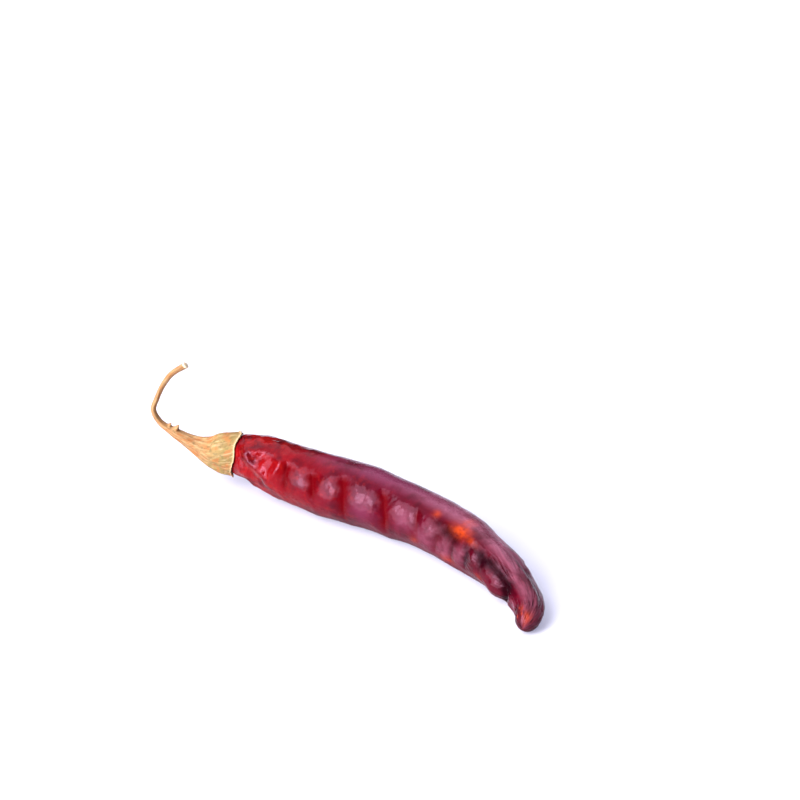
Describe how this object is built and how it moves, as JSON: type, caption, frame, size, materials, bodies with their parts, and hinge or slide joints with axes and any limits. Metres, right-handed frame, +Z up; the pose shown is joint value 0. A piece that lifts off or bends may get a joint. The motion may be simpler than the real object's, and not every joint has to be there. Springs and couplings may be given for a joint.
{
  "type": "dried chilli",
  "caption": "Dried red chilli lying on its side: a wrinkled curved pod with a hooked tip, a papery calyx and a bent stem.",
  "frame": {"origin": "on the table, under the middle of the chilli's box", "axes": "+X runs from the stem end to the tip, +Z is up from the table, and the tip hooks towards -Y"},
  "size_m": [0.0934, 0.0278, 0.0274],
  "materials": {
    "pod_skin": "satin",
    "dried_stalk": "matte"
  },
  "bodies": {
    "root": {"pod": "pod_skin", "calyx_and_stem": "dried_stalk"}
  },
  "joints": []
}
